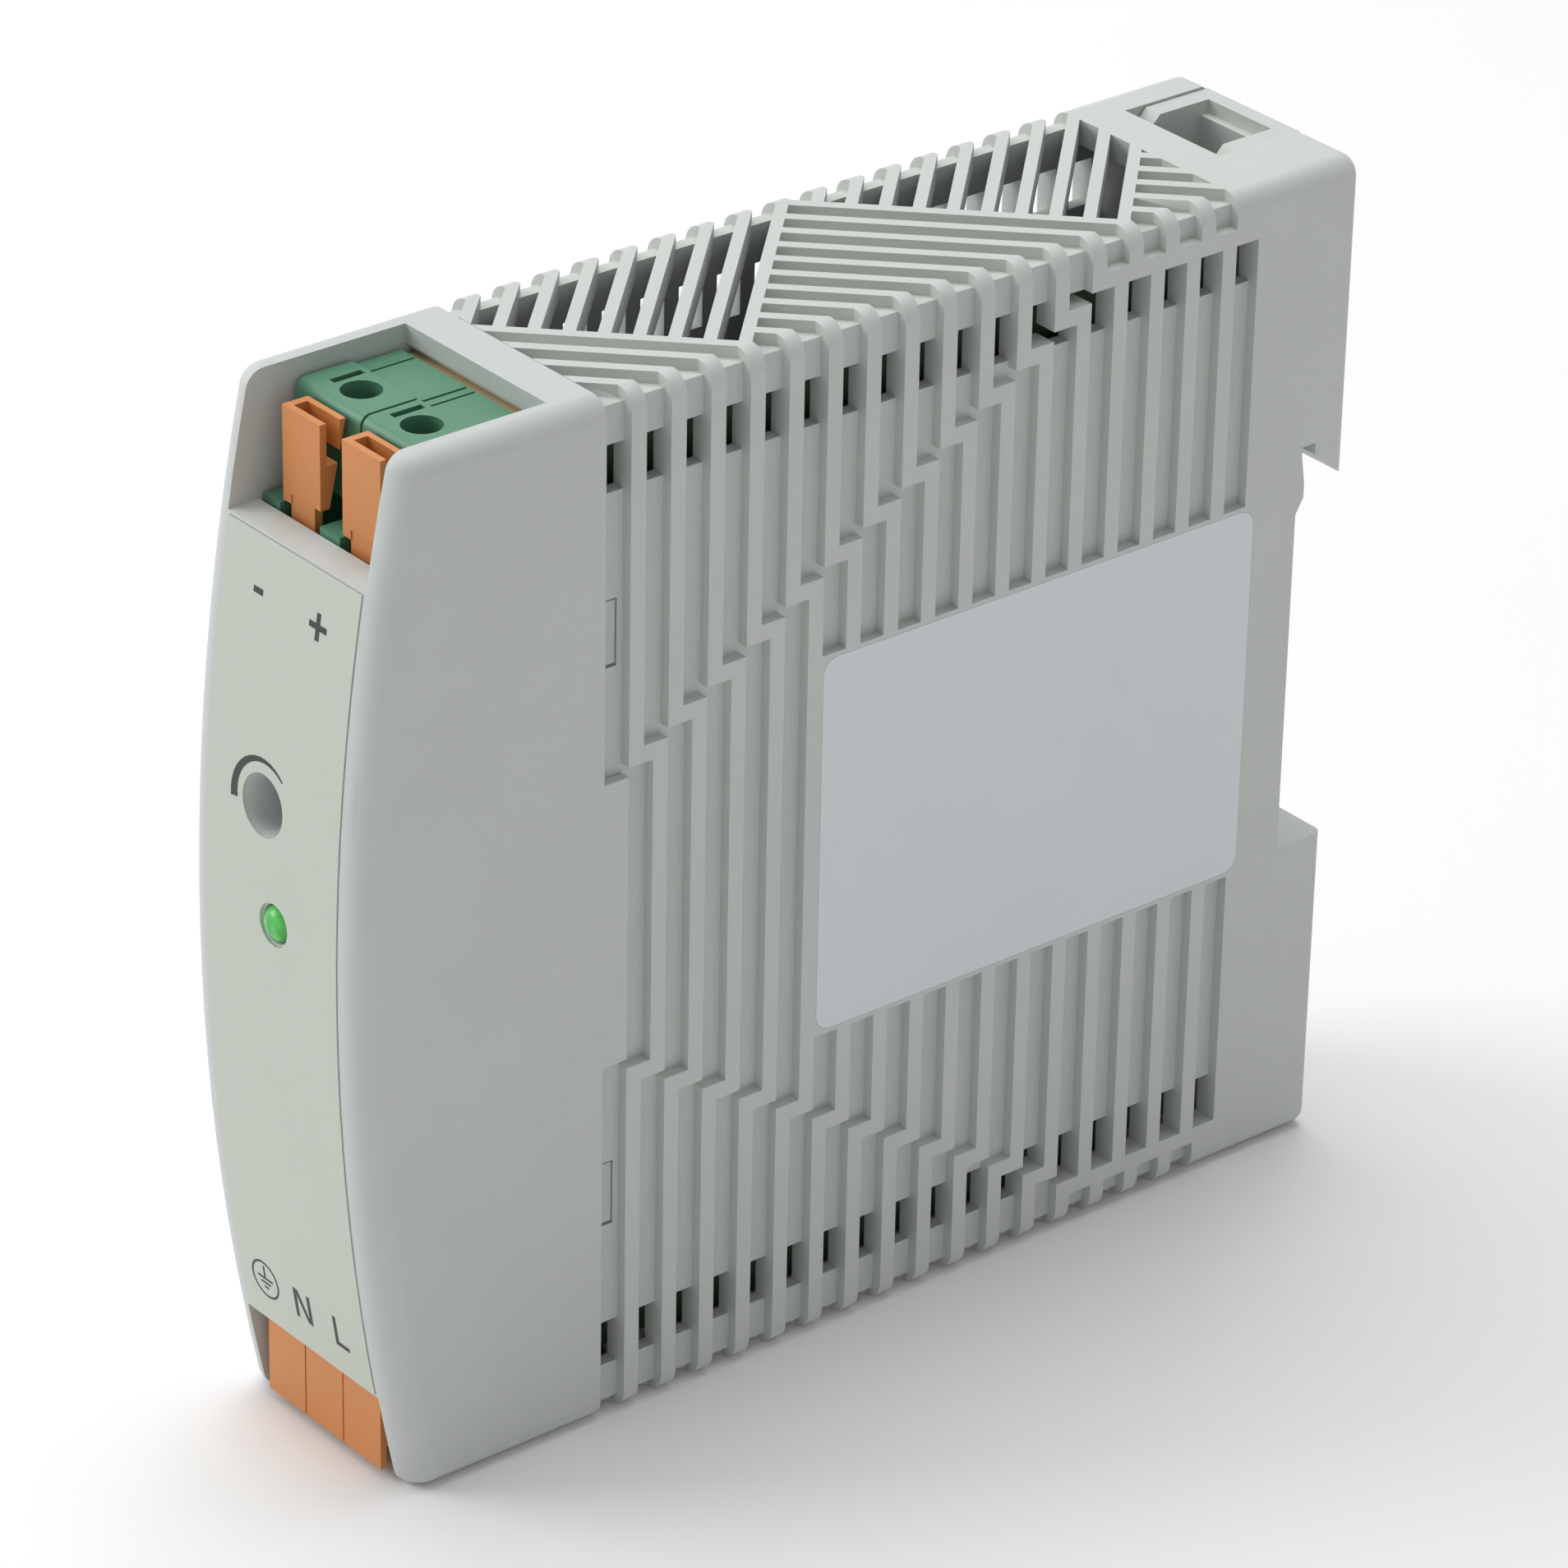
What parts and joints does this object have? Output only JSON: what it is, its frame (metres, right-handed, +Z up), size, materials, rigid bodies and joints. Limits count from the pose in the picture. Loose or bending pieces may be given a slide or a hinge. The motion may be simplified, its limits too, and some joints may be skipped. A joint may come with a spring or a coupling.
{
  "type": "din rail power supply",
  "caption": "Slim rail-mounted power supply in a ribbed plastic shell, with push-in terminals top and bottom, status lamp, voltage trimmer and sprung rail latch.",
  "frame": {"origin": "under the middle of the housing, on the plane of its bottom face", "axes": "+X across the module to the labelled side, +Y from the front towards the mounting rail, +Z up"},
  "size_m": [0.0226, 0.1, 0.09],
  "materials": {
    "housing_grey": "fine matt",
    "cover_grey": "fine matt",
    "film": "satin",
    "label": "satin",
    "latch_grey": "fine matt",
    "spring_steel": "bright wire",
    "terminal_green": "satin",
    "button_orange": "satin",
    "clamp_steel": "satin",
    "tinned_metal": "tin plated",
    "board_cream": "sheet laminate",
    "board_brown": "sheet laminate",
    "black_plastic": "moulded",
    "lamp_green": "clear tinted",
    "trimmer_blue": "moulded",
    "rotor_white": "moulded",
    "ferrite": "sintered",
    "tape_brown": "wound tape",
    "sleeve_black": "shrink sleeve",
    "box_grey": "moulded",
    "disc_blue": "dipped",
    "disc_dark": "dipped",
    "copper_wire": "enamelled copper",
    "heatsink_aluminium": "bare sheet",
    "fuse_brown": "moulded"
  },
  "bodies": {
    "module": {"main_housing": "housing_grey", "front_cover": "cover_grey", "front_film": "film", "side_label": "label", "latch_spring": "spring_steel", "output_terminal": "terminal_green", "input_terminal": "terminal_green", "output_clamp_springs": "clamp_steel", "output_contact_pins": "tinned_metal", "input_clamp_springs": "clamp_steel", "input_contact_pins": "tinned_metal", "front_board": "board_cream", "link_header": "black_plastic", "link_pins": "tinned_metal", "front_board_leads": "tinned_metal", "status_lamp": "lamp_green", "lamp_spacer": "black_plastic", "trimmer_body": "trimmer_blue", "main_board": "board_brown", "component_leads": "tinned_metal", "transformer_core": "ferrite", "transformer_bobbin": "black_plastic", "transformer_winding": "tape_brown", "output_capacitors": "sleeve_black", "input_capacitor": "sleeve_black", "x_capacitor": "box_grey", "choke_core": "ferrite", "choke_windings": "copper_wire", "bridge_rectifier": "black_plastic", "optocoupler": "black_plastic", "control_chip": "black_plastic", "output_diode": "black_plastic", "diode_heatsink": "heatsink_aluminium", "power_transistor": "black_plastic", "transistor_heatsink": "heatsink_aluminium", "fuse": "fuse_brown", "varistor": "disc_blue", "inrush_thermistor": "disc_dark", "y_capacitors": "disc_blue"},
    "rail_latch": {"rail_latch": "latch_grey"},
    "output_button_minus": {"output_button_minus": "button_orange"},
    "output_button_plus": {"output_button_plus": "button_orange"},
    "input_button_earth": {"input_button_earth": "button_orange"},
    "input_button_neutral": {"input_button_neutral": "button_orange"},
    "input_button_line": {"input_button_line": "button_orange"},
    "trimmer_rotor": {"trimmer_rotor": "rotor_white"}
  },
  "joints": [
    {"name": "latch_slide", "type": "slide", "parent": "module", "child": "rail_latch", "axis": [0, 0, -1], "range_m": [0, 0.003], "stiffness_N_per_m": 800, "springref_m": -0.003, "deforming": ["latch_spring"]},
    {"name": "output_button_minus_press", "type": "slide", "parent": "module", "child": "output_button_minus", "axis": [0, 0, -1], "range_m": [0, 0.0015], "stiffness_N_per_m": 1500, "springref_m": -0.001},
    {"name": "output_button_plus_press", "type": "slide", "parent": "module", "child": "output_button_plus", "axis": [0, 0, -1], "range_m": [0, 0.0015], "stiffness_N_per_m": 1500, "springref_m": -0.001},
    {"name": "input_button_earth_press", "type": "slide", "parent": "module", "child": "input_button_earth", "axis": [0, 0, 1], "range_m": [0, 0.0015], "stiffness_N_per_m": 1500, "springref_m": -0.001},
    {"name": "input_button_neutral_press", "type": "slide", "parent": "module", "child": "input_button_neutral", "axis": [0, 0, 1], "range_m": [0, 0.0015], "stiffness_N_per_m": 1500, "springref_m": -0.001},
    {"name": "input_button_line_press", "type": "slide", "parent": "module", "child": "input_button_line", "axis": [0, 0, 1], "range_m": [0, 0.0015], "stiffness_N_per_m": 1500, "springref_m": -0.001},
    {"name": "trimmer_turn", "type": "hinge", "parent": "module", "child": "trimmer_rotor", "pos_m": [-0.0013, -0.0365, 0.0579], "axis": [0, 1, 0], "range_deg": [-135, 135]}
  ]
}
